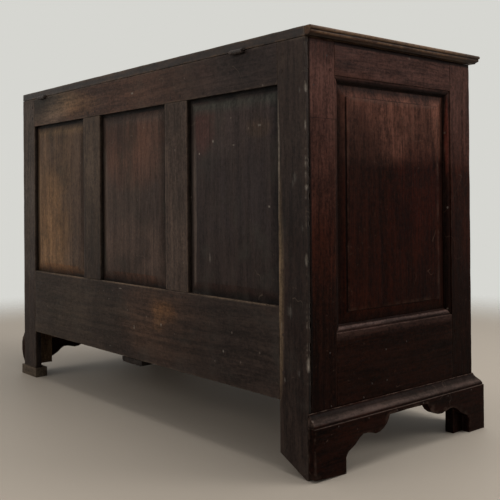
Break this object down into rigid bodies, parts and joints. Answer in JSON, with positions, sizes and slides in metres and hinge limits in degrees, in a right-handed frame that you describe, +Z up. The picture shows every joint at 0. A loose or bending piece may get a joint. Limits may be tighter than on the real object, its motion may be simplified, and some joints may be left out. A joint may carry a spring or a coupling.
{
  "type": "mule chest",
  "caption": "Panelled oak mule chest: a hinged lid over a deep box, with drawers side by side below and a moulded plinth on bracket feet.",
  "frame": {"origin": "on the floor, under the middle of the whole chest's footprint", "axes": "+X to the right of someone facing the front, +Y from the front to the back, +Z up"},
  "size_m": [1.27, 0.5537, 0.8495],
  "materials": {
    "oak_back": "unpolished old oak, almost black with dirt and age",
    "oak_side": "polished old oak, dark red-brown, satin",
    "oak_lid": "polished old oak, worn to mid brown, satin",
    "oak_inner": "bare dry oak inside",
    "iron": "old dark iron",
    "brass": "dull aged brass"
  },
  "bodies": {
    "case": {"back_stile_left": "oak_back", "back_stile_right": "oak_back", "back_top_rail": "oak_back", "back_bottom_rail": "oak_back", "back_muntin_left": "oak_back", "back_muntin_right": "oak_back", "back_panel_left": "oak_back", "back_panel_middle": "oak_back", "back_panel_right": "oak_back", "left_end_rear_stile": "oak_side", "left_end_front_stile": "oak_side", "left_end_top_rail": "oak_side", "left_end_bottom_rail": "oak_side", "left_end_panel": "oak_side", "right_end_rear_stile": "oak_side", "right_end_front_stile": "oak_side", "right_end_top_rail": "oak_side", "right_end_bottom_rail": "oak_side", "right_end_panel": "oak_side", "front_stile_left": "oak_side", "front_stile_right": "oak_side", "front_top_rail": "oak_side", "front_middle_rail": "oak_side", "front_bottom_rail": "oak_side", "front_muntin_left": "oak_side", "front_muntin_right": "oak_side", "front_panel_left": "oak_side", "front_panel_middle": "oak_side", "front_panel_right": "oak_side", "drawer_divider": "oak_side", "chest_floor": "oak_inner", "middle_bearer": "oak_inner", "runner_left": "oak_inner", "runner_right": "oak_inner", "plinth_front": "oak_side", "plinth_left": "oak_side", "plinth_right": "oak_side", "rear_foot_block": "oak_back", "left_hinge_case_leaf": "iron", "right_hinge_case_leaf": "iron"},
    "lid": {"lid_board": "oak_lid", "lid_front_moulding": "oak_lid", "lid_left_moulding": "oak_lid", "lid_right_moulding": "oak_lid", "left_hinge_lid_leaf": "iron", "right_hinge_lid_leaf": "iron"},
    "left_drawer": {"left_drawer_front": "oak_side", "left_drawer_inner_side": "oak_inner", "left_drawer_outer_side": "oak_inner", "left_drawer_back": "oak_inner", "left_drawer_bottom": "oak_inner", "left_handle_plate": "brass"},
    "right_drawer": {"right_drawer_front": "oak_side", "right_drawer_inner_side": "oak_inner", "right_drawer_outer_side": "oak_inner", "right_drawer_back": "oak_inner", "right_drawer_bottom": "oak_inner", "right_handle_plate": "brass"},
    "left_bail": {"left_handle_bail": "brass"},
    "right_bail": {"right_handle_bail": "brass"}
  },
  "joints": [
    {"name": "lid_hinge", "type": "hinge", "parent": "case", "child": "lid", "pos_m": [0, 0.27165, 0.8275], "axis": [-1, 0, 0], "range_deg": [0, 105]},
    {"name": "left_drawer_slide", "type": "slide", "parent": "case", "child": "left_drawer", "axis": [0, -1, 0], "range_m": [0, 0.38]},
    {"name": "right_drawer_slide", "type": "slide", "parent": "case", "child": "right_drawer", "axis": [0, -1, 0], "range_m": [0, 0.38]},
    {"name": "left_bail_swing", "type": "hinge", "parent": "left_drawer", "child": "left_bail", "pos_m": [-0.2705, -0.27265, 0.221], "axis": [-1, 0, 0], "range_deg": [-20, 140]},
    {"name": "right_bail_swing", "type": "hinge", "parent": "right_drawer", "child": "right_bail", "pos_m": [0.2705, -0.27265, 0.221], "axis": [-1, 0, 0], "range_deg": [-20, 140]}
  ]
}
